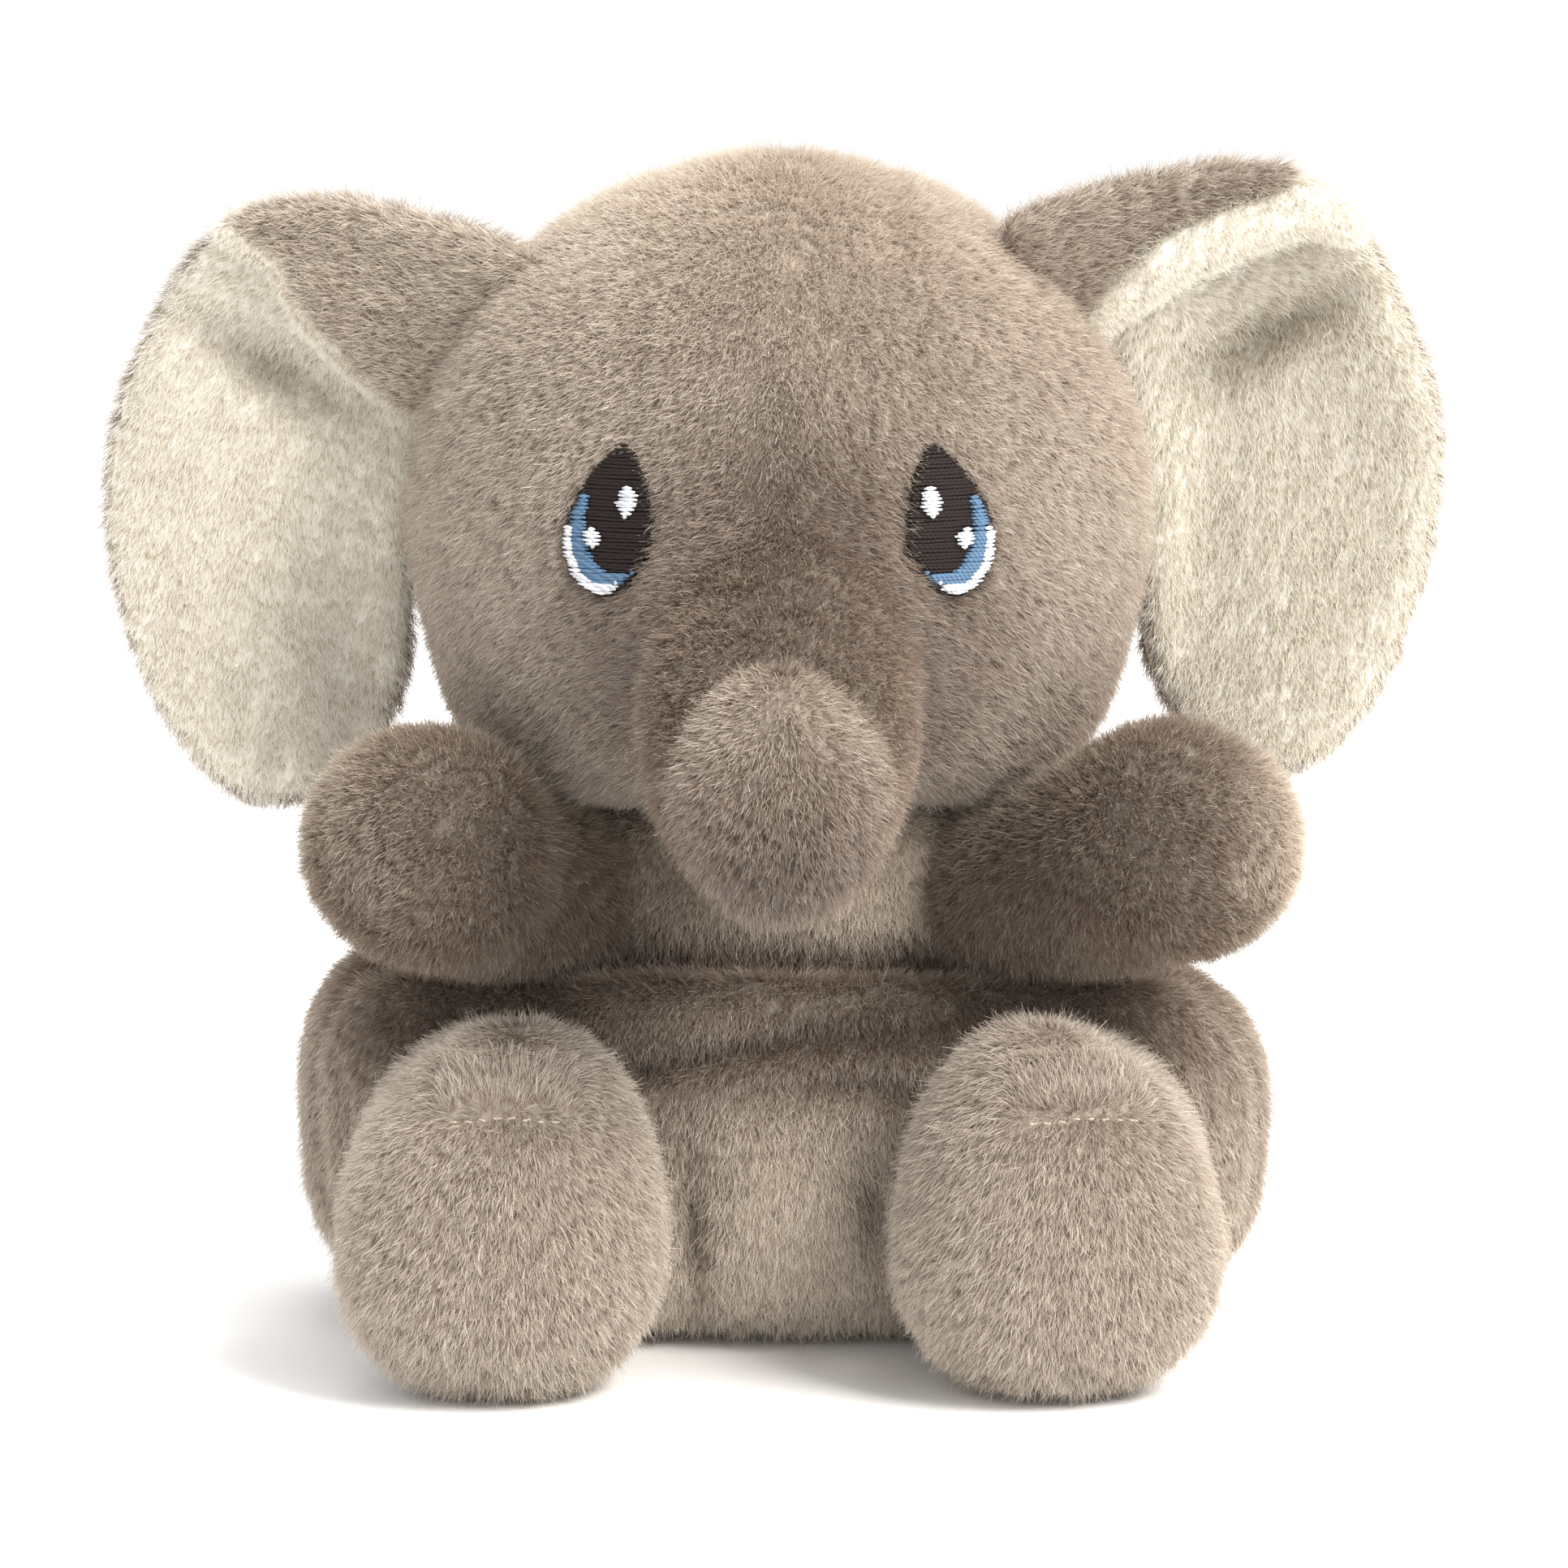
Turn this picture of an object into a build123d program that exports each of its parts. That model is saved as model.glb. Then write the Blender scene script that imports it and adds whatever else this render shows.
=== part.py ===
"""A small seated stuffed elephant, sewn from short-pile plush over fibre and pellet filling.

Millimetres. The toy faces -Y, +Z is up and +X is the toy's own left side. The origin lies on
the surface that the toy sits on, under the middle of its body. Outer sizes reach the tips of
the pile. Each limb is sewn on at a seam that bends, so it ends in a ball that turns in a
matching hollow of its neighbour.
"""

import os
from math import cos, pi, sin, sqrt

from build123d import *

# Fabric and clearances
plush = 2.2  # backing and pile together
joint_gap = 0.4  # between a ball and the hollow it turns in
thread = 0.7  # sewing thread, doubled
stitch_taper = 0.98  # a stitch's far end against its near one
lay_on = 0.03  # room under the embroidery

# Head: radius and half height
head_half = (39.5, 34.7)
head_centre = (0.0, 3.5, 90.1)
gusset_width = 22.0
gusset_low = 94.0

# Neck: a ball on the torso, a gathered cap round it, and the head's hollow round the cap
neck_centre = (0.0, 3.0, 54.0)
neck_ball = 12.0
neck_cap = 2.4

# Trunk: centres (y, z) and radii from the face to the tip
trunk_root = (0.0, -32.0, 76.0)
trunk_ball = 15.0
trunk_line = [(-40.5, 69.4, 14.2), (-48.0, 65.0, 13.8), (-54.0, 64.6, 12.9)]
trunk_droop = 6.0  # degrees that the trunk bends down from its rest
trunk_seam_slope = 0.38  # fall of the seam between the trunk's panels, along its length

# Drums are given by radius, half length and the rounding of their ends.
# Torso: the seat lies along X and the chest stands up
seat_drum = (24.0, 53.0, 16.0)
seat_centre = (0.0, 1.0, 20.0)
chest_drum = (24.0, 15.0, 13.0)
chest_centre = (0.0, 2.0, 38.0)
fibre_low = 29.6  # the fibre lies on the pellet bag

# Pellet bag
bag_drum = (11.6, 38.0, 10.0)
bag_centre = (0.0, 9.6, 17.2)
bag_wall = 0.6
pellet_radius = 2.4
pellet_pitch = 5.3
pellet_layer = 0.85  # height of a staggered layer, as a share of the pitch
pellet_room = 0.2  # between the outermost pellets and the bag

# Arms: a ball at the shoulder and a larger one for the paw, on each side
shoulder = (25.0, -3.0, 45.0)
shoulder_ball = 9.5
paw_ball = 12.5
paw = {"left": (41.0, -25.0, 54.6), "right": (38.0, -25.0, 53.2)}

# Legs: a ball at the hip and a round foot that faces forward
hip = (29.5, -23.0, 19.6)
hip_ball = 17.2
foot_drum = (18.8, 13.0, 11.5)
foot_centre = (30.0, -37.0, 18.4)
sole_top = 29.5  # where the seam of the sole crosses the front of the foot
sole_lean = 26.0  # degrees that the sole's seam leans back from upright
stitch_count = 9
stitch_length = 1.12
stitch_pitch = 1.33
stitch_depth = 0.7  # how far the stitches' middles stand out of the sole's seam

# Ears: a dish cut from a thick ball, sewn to the side of the head
ear_dish = 70.0
ear_ply = 3.0
ear_middle = (53.0, 9.0, 90.0)
ear_reach = 30.0  # how far forward of its middle the dish may come
ear_outline = [
    (25.4, 118.6), (35.5, 122.0), (47.5, 123.6), (58.5, 119.8), (66.3, 109.0), (70.6, 95.0),
    (69.2, 79.5), (63.6, 66.2), (55.0, 58.8), (46.0, 61.6), (40.4, 72.0), (38.6, 88.0),
    (36.0, 97.0), (32.8, 105.2), (27.0, 112.8),
]
ear_shift = {"left": (0.0, 0.0), "right": (1.2, -3.6)}  # outward and up, against the outline
ear_hinge = ((34.0, 7.0, 120.0), (39.5, 7.0, 100.0))
ear_swing = (-28.0, -14.0, 0.0, 7.0, 14.0)  # degrees forward, that the root edge must clear
tack_at = (41.0, 112.5)
tack_count = 5
tack_length = 1.19
tack_step = (1.54, -0.98)  # outward and up, from one tacking stitch to the next

# Eyes, embroidered: centre, half width and half height of the egg, and how far it leans
eye_beside_trunk = 1.6
eye_centre = (trunk_ball + eye_beside_trunk, 88.4)
eye_half = (4.5, 7.2)
eye_lean = 12.0
dark_thread = 0.6
blue_thread = 0.5
white_thread = 0.6

# Tail
tail_root = (0.0, 26.6, 28.0)
tail_ball = 3.4
tail_tip = (0.0, 36.1, 11.0)
tail_tip_ball = 2.8

# Closing seam and label on the back
seam_stitches = 6
seam_pitch = 1.8
seam_low = 33.5
seam_stitch_length = 2.1
label_size = (9.0, 0.7, 12.0)
label_room = 0.2
label_at = (20.0, 13.0)

# Half outlines as (radius, height), each as a share of the half sizes
head_profile = [
    (0.0, -1.0), (0.42, -0.975), (0.72, -0.86), (0.9, -0.62), (1.0, -0.22), (0.975, 0.16),
    (0.83, 0.51), (0.56, 0.80), (0.26, 0.96), (0.0, 1.0),
]
SIDES = {"left": 1, "right": -1}
THROUGH = 60.0  # carries a flat outline through any one piece
BIG = 400.0  # reaches past the whole toy


def moved(shape, place):
    return Pos(*place) * shape


def turned(profile, half, centre, inset=0.0):
    """A solid turned about Z, of a given radius and half height, less an inset all round."""
    radius, height = (size - inset for size in half)
    outline = Spline([(r * radius, 0, h * height) for r, h in profile], tangents=[(1, 0, 0), (-1, 0, 0)])
    return moved(revolve(make_face([outline, Line(outline @ 1, outline @ 0)]), Axis.Z), centre)


def drum(size, centre, axis=Axis.Z, inset=0.0):
    """A cylinder along an axis with well rounded ends, less an inset all round."""
    radius, half_length, rounding = (length - inset for length in size)
    solid = Cylinder(radius, 2 * half_length)
    solid = fillet(solid.edges().filter_by(GeomType.CIRCLE), rounding)
    return Plane(origin=centre, z_dir=axis.direction) * solid


def ball(centre, radius):
    return moved(Sphere(radius), centre)


def block(low, high):
    size = [b - a for a, b in zip(low, high)]
    middle = [(a + b) / 2 for a, b in zip(low, high)]
    return moved(Box(*size), middle)


def mirrored_x(point, side):
    return (point[0] * SIDES[side], point[1], point[2])


def capsule(start, start_radius, end, end_radius):
    """Two balls and the cone that touches both, as one turned solid."""
    along = Vector(*end) - Vector(*start)
    length = along.length
    sine = (start_radius - end_radius) / length
    cosine = sqrt(1 - sine * sine)
    half = sqrt(0.5)
    first = ThreePointArc(
        (0, 0, -start_radius),
        (start_radius * half, 0, -start_radius * half),
        (start_radius * cosine, 0, start_radius * sine),
    )
    side = Line(first @ 1, (end_radius * cosine, 0, length + end_radius * sine))
    last = ThreePointArc(
        side @ 1,
        (end_radius * half, 0, length + end_radius * half),
        (0, 0, length + end_radius),
    )
    axis = Line(last @ 1, first @ 0)
    solid = revolve(make_face([first, side, last, axis]), Axis.Z)
    return Plane(origin=start, z_dir=along) * solid


def ball_room(centre, radius):
    """The hollow that a ball turns in, grown by a wall's thickness when asked."""
    return lambda wall: ball(centre, radius + joint_gap + wall)


def capsule_room(start, start_radius, end, end_radius):
    return lambda wall: capsule(
        start, start_radius + joint_gap + wall, end, end_radius + joint_gap + wall
    )


def shell_and_fill(make, rooms):
    """A cover of one fabric thickness and what fills it, with room left for its neighbours."""
    outer, inner = make(0.0), make(plush)
    for room in rooms:
        outer -= room(0.0)
        inner -= room(plush)
    return outer - inner, inner


def stitch(centre, direction, length):
    """One stitch: a short round bar of thread with rounded ends, one of them a little finer."""
    way = Vector(*direction).normalized() * (length / 2)
    start, end = Vector(*centre) - way, Vector(*centre) + way
    return capsule(tuple(start), thread / 2, tuple(end), thread / 2 * stitch_taper)


def save(name, shape):
    """Writes a node. A list is a group of separate solids."""
    if isinstance(shape, list):
        shape = Compound(children=[s for part in shape for s in part.solids()])
    export_step(shape, f"parts/{name}.step")


def make_head():
    """The head's three panels and its filling, hollowed for the trunk and the neck."""
    y, z, radius = trunk_line[0]
    lowered = Pos(*trunk_root) * Rot(trunk_droop, 0, 0) * Pos(0, y - trunk_root[1], z - trunk_root[2])
    rooms = [
        ball_room(neck_centre, neck_ball + joint_gap + neck_cap),
        capsule_room(trunk_root, trunk_ball, (0, y, z), radius),
        capsule_room(trunk_root, trunk_ball, tuple(lowered.position), radius),
    ]
    cover, fill = shell_and_fill(lambda t: turned(head_profile, head_half, head_centre, t), rooms)
    strip = block((-gusset_width / 2, -BIG, gusset_low), (gusset_width / 2, BIG, BIG))
    save("head_gusset", cover & strip)
    rest = cover - strip
    save("head_left_panel", rest & block((0, -BIG, 0), (BIG, BIG, BIG)))
    save("head_right_panel", rest & block((-BIG, -BIG, 0), (0, BIG, BIG)))
    save("head_filling", fill)


def make_neck():
    """The gathered cap of the neck opening, and the thread ring that draws it in."""
    inside = neck_ball + joint_gap
    cap = ball(neck_centre, inside + neck_cap) - ball(neck_centre, inside)
    x, y, z = neck_centre
    cap &= block((-BIG, -BIG, z + thread / 2), (BIG, BIG, BIG))
    save("neck_gather", cap)
    ring = Torus(inside + neck_cap / 2, thread / 2)
    save("neck_seam_thread", moved(ring, neck_centre))


def trunk_solid(inset=0.0):
    """A bent trunk: a chain of tapered pieces that share the balls between them."""
    whole, last, last_radius = None, trunk_root, trunk_ball - inset
    for y, z, radius in trunk_line:
        piece = capsule(last, last_radius, (0, y, z), radius - inset)
        whole = piece if whole is None else whole + piece
        last, last_radius = (0, y, z), radius - inset
    return whole


def make_trunk():
    """The trunk's upper and under panels and its filling."""
    cover, fill = trunk_solid() - trunk_solid(plush), trunk_solid(plush)
    lean = Plane(origin=trunk_root, x_dir=(1, 0, 0), z_dir=(0, trunk_seam_slope, 1))
    above = lean * moved(Box(BIG, BIG, BIG), (0, 0, BIG / 2))
    save("trunk_upper_panel", cover & above)
    save("trunk_under_panel", cover - above)
    save("trunk_filling", fill)


def torso_solid(inset=0.0):
    """The wide pellet-filled seat, the chest on it and the ball of the neck, cut flat below."""
    whole = drum(seat_drum, seat_centre, Axis.X, inset)
    whole += drum(chest_drum, chest_centre, Axis.Z, inset)
    whole += ball(neck_centre, neck_ball - inset)
    return whole & block((-BIG, -BIG, inset), (BIG, BIG, BIG))


def make_torso():
    """The torso's front and back panels, the fibre in its chest and the pellet bag below."""
    rooms = [ball_room(tail_root, tail_ball)]
    for side in SIDES:
        rooms.append(capsule_room(*arm_ends(side)))
        rooms.append(ball_room(mirrored_x(hip, side), hip_ball))
    cover, fill = shell_and_fill(torso_solid, rooms)
    side_seam = seat_centre[1]
    save("torso_front_panel", cover & block((-BIG, -BIG, 0), (BIG, side_seam, BIG)))
    save("torso_back_panel", cover & block((-BIG, side_seam, 0), (BIG, BIG, BIG)))
    save("torso_filling", fill & block((-BIG, -BIG, fibre_low), (BIG, BIG, BIG)))
    bag, inside = (drum(bag_drum, bag_centre, Axis.X, inset) for inset in (0.0, bag_wall))
    save("pellet_bag", bag - inside)
    save("pellets", pellets())


def pellets():
    """Round pellets in staggered layers, as many as the bag holds."""
    radius, length, _ = (size - bag_wall - pellet_radius - pellet_room for size in bag_drum)
    found = []
    columns, rows = int(length / pellet_pitch) + 1, int(radius / pellet_pitch) + 1
    for k in range(-rows, rows + 1):
        shift = pellet_pitch / 2 if k % 2 else 0.0
        for j in range(-rows, rows + 1):
            for i in range(-columns, columns + 1):
                x, y, z = i * pellet_pitch + shift, j * pellet_pitch + shift, k * pellet_pitch * pellet_layer
                if (x / length) ** 4 + (y**2 + z**2) / radius**2 < 1:
                    found.append(ball(tuple(Vector(x, y, z) + Vector(*bag_centre)), pellet_radius))
    return found


def arm_ends(side):
    return mirrored_x(shoulder, side), shoulder_ball, mirrored_x(paw[side], side), paw_ball


def make_arm(side):
    start, start_radius, end, end_radius = arm_ends(side)
    outer = capsule(start, start_radius, end, end_radius)
    fill = capsule(start, start_radius - plush, end, end_radius - plush)
    save(f"arm_{side}_cover", outer - fill)
    save(f"arm_{side}_filling", fill)


def leg_solid(side, inset=0.0):
    whole = ball(mirrored_x(hip, side), hip_ball - inset)
    whole += drum(foot_drum, mirrored_x(foot_centre, side), Axis.Y, inset)
    return whole & block((-BIG, -BIG, inset), (BIG, BIG, BIG))


def foot_front(side, across, z):
    """A point on the front of the foot, so far across from its middle."""
    x, y, middle = mirrored_x(foot_centre, side)
    radius, half_length, rounding = foot_drum
    off = max(sqrt(across**2 + (z - middle) ** 2) - (radius - rounding), 0)
    return x + across, y - half_length + rounding - sqrt(rounding**2 - off**2), z


def make_leg(side):
    """A leg's upper cover, its sole, its filling and the stitches along the sole's seam."""
    outer, fill = leg_solid(side), leg_solid(side, plush)
    cover = outer - fill
    top = foot_front(side, 0.0, sole_top)
    lean = sole_lean * pi / 180
    cut = Plane(origin=top, x_dir=(1, 0, 0), z_dir=(0, -cos(lean), -sin(lean)))
    front = cut * moved(Box(BIG, BIG, BIG), (0, 0, BIG / 2))
    save(f"leg_{side}_upper", cover - front)
    save(f"leg_{side}_sole", cover & front)
    save(f"leg_{side}_filling", fill)
    stitches = []
    for i in range(stitch_count):
        x, y, z = foot_front(side, (i - (stitch_count - 1) / 2) * stitch_pitch, sole_top)
        stitches.append(stitch((x, y - stitch_depth, z), (0, 0.9, 1), stitch_length))
    save(f"leg_{side}_seam_thread", stitches)


def make_ear(side):
    """An ear's inner and outer ply, as layers of one dish, and its tacking stitches."""
    out, up = ear_shift[side]
    x, y, z = ear_middle
    centre = ((x + out) * SIDES[side], y - ear_dish, z + up)
    points = [((px + out) * SIDES[side], pz + up) for px, pz in ear_outline]
    outline = make_face(Plane.XZ * Spline(points, periodic=True))
    prism = extrude(outline, amount=THROUGH, both=True)
    layers = [ball(centre, ear_dish + step) for step in (-ear_ply, 0.0, ear_ply)]
    prism &= block((-BIG, y - ear_reach, 0), (BIG, BIG, BIG))
    start, end = (Vector(*mirrored_x(point, side)) + Vector(0, 0, up) for point in ear_hinge)
    hinge = Axis(start, end - start)
    head = turned(head_profile, head_half, head_centre, -joint_gap)
    for angle in ear_swing:
        prism -= head.rotate(hinge, -angle * SIDES[side])
    save(f"ear_{side}_inner_ply", (layers[1] - layers[0]) & prism)
    save(f"ear_{side}_outer_ply", (layers[2] - layers[1]) & prism)
    tx, tz = (tack_at[0] + out) * SIDES[side], tack_at[1] + up
    reach = ear_dish - ear_ply - thread
    stitches = []
    for i in range(tack_count):
        px, pz = tx + i * tack_step[0] * SIDES[side], tz + i * tack_step[1]
        py = centre[1] + sqrt(reach**2 - (px - centre[0]) ** 2 - (pz - centre[2]) ** 2)
        stitches.append(stitch((px, py, pz), (SIDES[side], 0, -0.6), tack_length))
    save(f"ear_{side}_tack_thread", stitches)


def egg(centre, half, lean):
    """An upright egg, narrower at the top, leaning over by so many degrees."""
    w, h = half
    sides = Spline(
        [(0, h), (w * 0.62, h * 0.42), (w, -h * 0.3), (w * 0.58, -h * 0.86), (0, -h)],
        tangents=[(1, -0.55), (-1, 0)],
    )
    shape = make_face([sides, mirror(sides, about=Plane.YZ)])
    return Pos(*centre) * Rot(0, 0, lean) * shape


def on_face(sketch, low, high):
    """A sketch drawn on the front of the head, raised between two heights above the plush."""
    prism = extrude(Plane.XZ * sketch, amount=THROUGH)
    outer = turned(head_profile, head_half, head_centre, -high)
    inner = turned(head_profile, head_half, head_centre, -low)
    return (outer - inner) & prism


def make_eye(side):
    """Three runs of embroidery: the dark ground, a blue crescent and two white glints."""
    s = SIDES[side]
    x, z = eye_centre
    w, h = eye_half
    centre, lean = (x * s, z), eye_lean * s
    ground = egg(centre, eye_half, lean)
    save(f"eye_{side}_dark_thread", on_face(ground, lay_on, lay_on + dark_thread))
    base = 2 * lay_on + dark_thread
    iris = egg(centre, (w * 0.86, h * 0.86), lean) & ground
    iris -= Pos(centre[0] - 0.20 * w * s, centre[1] + 0.26 * h) * Ellipse(w * 0.83, h * 0.83)
    save(f"eye_{side}_blue_thread", on_face(iris, base, base + blue_thread))
    over = base + blue_thread + lay_on
    upper = Pos(centre[0] - 0.30 * w * s, centre[1] + 0.30 * h) * Ellipse(w * 0.2, h * 0.21)
    lower = Pos(centre[0] + 0.42 * w * s, centre[1] - 0.24 * h) * Ellipse(w * 0.17, h * 0.12)
    glints = on_face(upper, over, over + white_thread), on_face(lower, over, over + white_thread)
    save(f"eye_{side}_white_thread", list(glints))


def make_tail():
    outer = capsule(tail_root, tail_ball, tail_tip, tail_tip_ball)
    core = capsule(tail_root, tail_ball - plush, tail_tip, tail_tip_ball - plush)
    save("tail_cover", outer - core)


def torso_back(z):
    """How far back the middle of the torso reaches at a height."""
    seat = seat_centre[1] + sqrt(seat_drum[0] ** 2 - (z - seat_centre[2]) ** 2)
    radius, half_height, rounding = chest_drum
    off = max(abs(z - chest_centre[2]) - (half_height - rounding), 0)
    return max(seat, chest_centre[1] + radius - rounding + sqrt(rounding**2 - off**2))


def make_back_details():
    """The ladder stitches that close the back, and the blank label sewn in beside the tail."""
    stitches = []
    for i in range(seam_stitches):
        z = seam_low + i * seam_pitch
        stitches.append(stitch((0, torso_back(z) + thread, z), (1, 0, 0.3), seam_stitch_length))
    save("back_closing_thread", stitches)
    x, z = label_at
    y = seat_centre[1] + seat_drum[0] + label_size[1] / 2 + label_room
    save("sewn_in_label", moved(Box(*label_size), (x, y, z)))


def main():
    os.makedirs("parts", exist_ok=True)
    make_head()
    make_neck()
    make_trunk()
    make_torso()
    make_tail()
    make_back_details()
    for side in SIDES:
        make_arm(side)
        make_leg(side)
        make_ear(side)
        make_eye(side)


main()
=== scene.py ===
"""The looks of a small seated stuffed elephant in short-pile plush.

Lengths in this script are millimetres in the row frame unless a name says otherwise: the toy
faces -Y, +Z is up and +X is its own left side. Each sewn part is a soft closed surface a little
inside its CAD cover, and a pile of fine curved fibres fills the room between the two.
"""

import math

import bmesh
import bpy
import numpy as np
from mathutils import Matrix, Vector, noise


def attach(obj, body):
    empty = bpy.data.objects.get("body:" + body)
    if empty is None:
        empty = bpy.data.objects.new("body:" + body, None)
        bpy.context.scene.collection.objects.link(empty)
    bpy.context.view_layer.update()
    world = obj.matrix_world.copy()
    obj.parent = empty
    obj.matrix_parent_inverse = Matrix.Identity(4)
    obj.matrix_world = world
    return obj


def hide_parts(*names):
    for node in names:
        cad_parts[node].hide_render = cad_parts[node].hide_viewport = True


MM = 0.001
SIDES = {"left": 1, "right": -1}
rng = np.random.default_rng(11)

# Camera
aim = (0.5, 0.0, 57.1)
camera_distance = 650.0
camera_elevation = 9.0
lens = 139.9

# Pile
pile_density = 25.0  # fibres per square millimetre
tuft_size = 5  # fibres in a tuft
tuft_spread = 0.34  # standard distance of a fibre's root from its tuft's middle
tuft_gather = 0.22  # how far a tuft's tips draw together
painted_glint_share = 0.10  # fibres painted brighter, as painted glints
guard_share = 0.10  # longer fibres that stand out of the pile
pile_inset = 1.5  # from the outer surface down to the backing
fibre_steps = 4
root_radius = 0.029
tip_radius = 0.010

# Colours, linear. Shades are (brightness, colour), where 1 is the fibre's own colour; brightness under 1 is
# mostly painted shade and over 1 painted light and painted glints
grey_fibre = (0.47, 0.395, 0.325)
cream_fibre = (0.88, 0.855, 0.785)
grey_shades = [(0.0, (0.02, 0.012, 0.008)), (0.3, (0.125, 0.082, 0.060)), (0.6, (0.285, 0.205, 0.155)),
               (1.0, grey_fibre), (1.5, (0.72, 0.635, 0.535)), (2.0, (0.94, 0.86, 0.76))]
cream_shades = [(0.0, (0.25, 0.19, 0.13)), (0.6, (0.62, 0.55, 0.43)), (1.0, cream_fibre),
                (2.0, (1.0, 0.97, 0.90))]


# ---------------------------------------------------------------- meshes


def new_mesh(name, verts, faces):
    mesh = bpy.data.meshes.new(name)
    mesh.from_pydata([tuple(v) for v in np.asarray(verts) * MM], [], [tuple(f) for f in faces])
    mesh.update()
    obj = bpy.data.objects.new(name, mesh)
    bpy.context.scene.collection.objects.link(obj)
    mesh.polygons.foreach_set("use_smooth", [True] * len(mesh.polygons))
    return obj


def joined(lumps):
    """The points and faces of several lumps as one list each."""
    verts, faces, count = [], [], 0
    for points, polygons in lumps:
        verts.append(points)
        faces += [[i + count for i in polygon] for polygon in polygons]
        count += len(points)
    return np.concatenate(verts), faces


def faced_outward(obj, merge=None):
    """Turns all faces outward, after joining points nearer than merge metres."""
    bm = bmesh.new()
    bm.from_mesh(obj.data)
    if merge:
        bmesh.ops.remove_doubles(bm, verts=bm.verts, dist=merge)
    bmesh.ops.recalc_face_normals(bm, faces=bm.faces)
    bm.to_mesh(obj.data)
    bm.free()
    return obj


def unit_sphere(level=4):
    bm = bmesh.new()
    bmesh.ops.create_icosphere(bm, subdivisions=level, radius=1.0)
    verts = np.array([v.co for v in bm.verts])
    faces = [[v.index for v in f.verts] for f in bm.faces]
    bm.free()
    return verts, faces


def lump(centre, half, power=2.0, turn=(0, 0, 0), level=4):
    """A rounded solid: an ellipsoid at power 2 and boxier above it, turned by degrees."""
    verts, faces = unit_sphere(level)
    size = (np.abs(verts) ** power).sum(1) ** (1 / power)
    verts = verts / size[:, None] * np.array(half)
    for axis, angle in zip("XYZ", turn):
        verts = verts @ np.array(Matrix.Rotation(math.radians(angle), 3, axis)).T
    return verts + np.array(centre), faces


def chain(stations, step=1.6):
    """Balls along a path of (x, y, z, radius), close enough to fuse into a smooth limb."""
    balls = []
    for a, b in zip(stations, stations[1:]):
        a, b = np.array(a, float), np.array(b, float)
        count = max(int(np.linalg.norm(b[:3] - a[:3]) / step), 1)
        for i in range(count + 1):
            x, y, z, r = a + (b - a) * i / count
            balls.append(lump((x, y, z), (r, r, r), level=3))
    return balls


def fused(name, lumps, voxel=1.0, smoothing=6):
    """One closed skin round several lumps."""
    obj = new_mesh(name, *joined(lumps))
    remesh = obj.modifiers.new("skin", "REMESH")
    remesh.mode = "VOXEL"
    remesh.voxel_size = voxel * MM
    soften = obj.modifiers.new("soften", "SMOOTH")
    soften.factor = 0.5
    soften.iterations = smoothing
    return settled(obj)


def settled(obj):
    """The object with its modifiers made part of its mesh."""
    graph = bpy.context.evaluated_depsgraph_get()
    mesh = bpy.data.meshes.new_from_object(obj.evaluated_get(graph))
    old = obj.data
    obj.modifiers.clear()
    obj.data = mesh
    mesh.name = obj.name
    bpy.data.meshes.remove(old)
    mesh.polygons.foreach_set("use_smooth", [True] * len(mesh.polygons))
    return obj


def points_of(obj):
    co = np.empty(len(obj.data.vertices) * 3)
    obj.data.vertices.foreach_get("co", co)
    return co.reshape(-1, 3) / MM


def normals_of(obj):
    no = np.empty(len(obj.data.vertices) * 3)
    obj.data.vertex_normals.foreach_get("vector", no)
    return no.reshape(-1, 3)


def reshape(obj, change):
    """Moves the vertices to change(points, normals)."""
    points = change(points_of(obj), normals_of(obj))
    obj.data.vertices.foreach_set("co", (points * MM).ravel())
    obj.data.update()
    return obj


def lumps_noise(points, scale, seed=0.0):
    """Smooth noise from -1 to 1 at each point, with features about scale across."""
    shift = Vector((seed * 7.3, seed * 3.1, seed * 5.7))
    return np.array([noise.noise(Vector(p) / scale + shift) for p in points])


def ridge(distance, width):
    return np.exp(-((distance / width) ** 2))


def flat_below(points, floor=0.0, soft=1.5):
    """Points pressed flat on the surface that the toy sits on."""
    low = points[:, 2] < floor + soft
    points[low, 2] = floor + soft * np.exp((points[low, 2] - floor - soft) / soft)
    return points


# ---------------------------------------------------------------- materials


def node_material(name):
    material = bpy.data.materials.new(name)
    material.use_nodes = True
    material.node_tree.nodes.clear()
    return material, material.node_tree


def finished(material, shader):
    """The material with a shader as its surface."""
    output = material.node_tree.nodes.new("ShaderNodeOutputMaterial")
    material.node_tree.links.new(shader.outputs[0], output.inputs[0])
    return material


def add(tree, kind, inputs=None, **settings):
    node = tree.nodes.new(kind)
    for key, value in settings.items():
        setattr(node, key, value)
    for key, value in (inputs or {}).items():
        if isinstance(value, bpy.types.NodeSocket):
            tree.links.new(value, node.inputs[key])
        else:
            node.inputs[key].default_value = value
    return node


def rgba(colour, factor=1.0):
    return (*(c * factor for c in colour), 1.0)


def blend(tree, factor, colour, low, high):
    """From low to high times a colour, as a factor says."""
    shades = {"Factor": factor, "A": rgba(colour, low), "B": rgba(colour, high)}
    return add(tree, "ShaderNodeMix", shades, data_type="RGBA").outputs["Result"]


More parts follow.
